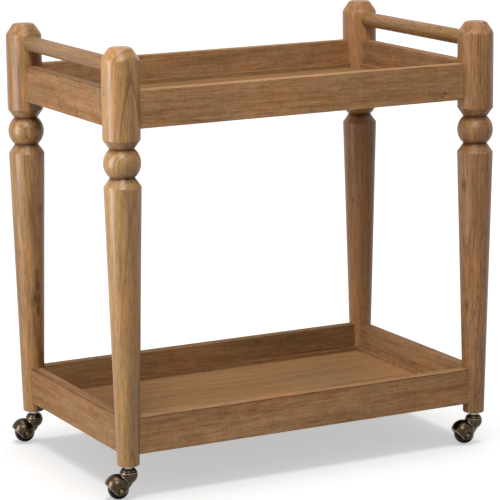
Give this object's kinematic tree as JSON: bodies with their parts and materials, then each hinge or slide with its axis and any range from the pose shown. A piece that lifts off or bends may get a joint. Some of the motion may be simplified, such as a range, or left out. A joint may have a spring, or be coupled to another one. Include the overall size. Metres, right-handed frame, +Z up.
{
  "type": "bar cart",
  "caption": "Wooden bar cart with turned posts, two railed trays, dowel handles at both ends and hooded ball casters.",
  "frame": {"origin": "on the floor, at the centre between the four posts", "axes": "+Z up, +X to the right along the long side, +Y from the front rails to the rear rails"},
  "size_m": [0.8408, 0.52, 0.846],
  "materials": {
    "post_wood": "satin oiled walnut-brown hardwood, turned",
    "rail_wood": "satin oiled brown hardwood boards, eased arrises",
    "panel_wood": "satin oiled brown hardwood panel",
    "handle_wood": "satin oiled brown hardwood dowel",
    "antique_bronze": "antique bronze plating, semi-gloss",
    "zinc_steel": "bright zinc plating",
    "black_rubber": "black rubber, satin"
  },
  "bodies": {
    "cart": {"post_front_left": "post_wood", "post_front_right": "post_wood", "post_rear_left": "post_wood", "post_rear_right": "post_wood", "handle_left": "handle_wood", "handle_right": "handle_wood", "upper_front_rail": "rail_wood", "upper_rear_rail": "rail_wood", "upper_left_rail": "rail_wood", "upper_right_rail": "rail_wood", "upper_panel": "panel_wood", "upper_panel_beads": "panel_wood", "lower_front_rail": "rail_wood", "lower_rear_rail": "rail_wood", "lower_left_rail": "rail_wood", "lower_right_rail": "rail_wood", "lower_panel": "panel_wood", "lower_panel_beads": "panel_wood", "caster_stems": "zinc_steel", "caster_caps": "antique_bronze", "caster_washers": "zinc_steel", "caster_rings": "zinc_steel"},
    "swivel_front_left": {"caster_front_left_housing": "antique_bronze", "caster_front_left_axle": "antique_bronze"},
    "wheel_front_left": {"caster_front_left_wheel": "black_rubber"},
    "swivel_front_right": {"caster_front_right_housing": "antique_bronze", "caster_front_right_axle": "antique_bronze"},
    "wheel_front_right": {"caster_front_right_wheel": "black_rubber"},
    "swivel_rear_left": {"caster_rear_left_housing": "antique_bronze", "caster_rear_left_axle": "antique_bronze"},
    "wheel_rear_left": {"caster_rear_left_wheel": "black_rubber"},
    "swivel_rear_right": {"caster_rear_right_housing": "antique_bronze", "caster_rear_right_axle": "antique_bronze"},
    "wheel_rear_right": {"caster_rear_right_wheel": "black_rubber"}
  },
  "joints": [
    {"name": "swivel_front_left_turn", "type": "hinge", "parent": "cart", "child": "swivel_front_left", "pos_m": [-0.38, -0.225, 0.045], "axis": [0, 0, 1], "continuous": true},
    {"name": "wheel_front_left_roll", "type": "hinge", "parent": "swivel_front_left", "child": "wheel_front_left", "pos_m": [-0.40035, -0.2225, 0.02], "axis": [0.1219, 0.9925, 0], "continuous": true},
    {"name": "swivel_front_right_turn", "type": "hinge", "parent": "cart", "child": "swivel_front_right", "pos_m": [0.38, -0.225, 0.045], "axis": [0, 0, 1], "continuous": true},
    {"name": "wheel_front_right_roll", "type": "hinge", "parent": "swivel_front_right", "child": "wheel_front_right", "pos_m": [0.35965, -0.2225, 0.02], "axis": [0.1219, 0.9925, 0], "continuous": true},
    {"name": "swivel_rear_left_turn", "type": "hinge", "parent": "cart", "child": "swivel_rear_left", "pos_m": [-0.38, 0.225, 0.045], "axis": [0, 0, 1], "continuous": true},
    {"name": "wheel_rear_left_roll", "type": "hinge", "parent": "swivel_rear_left", "child": "wheel_rear_left", "pos_m": [-0.40035, 0.2275, 0.02], "axis": [0.1219, 0.9925, 0], "continuous": true},
    {"name": "swivel_rear_right_turn", "type": "hinge", "parent": "cart", "child": "swivel_rear_right", "pos_m": [0.38, 0.225, 0.045], "axis": [0, 0, 1], "continuous": true},
    {"name": "wheel_rear_right_roll", "type": "hinge", "parent": "swivel_rear_right", "child": "wheel_rear_right", "pos_m": [0.35965, 0.2275, 0.02], "axis": [0.1219, 0.9925, 0], "continuous": true}
  ]
}
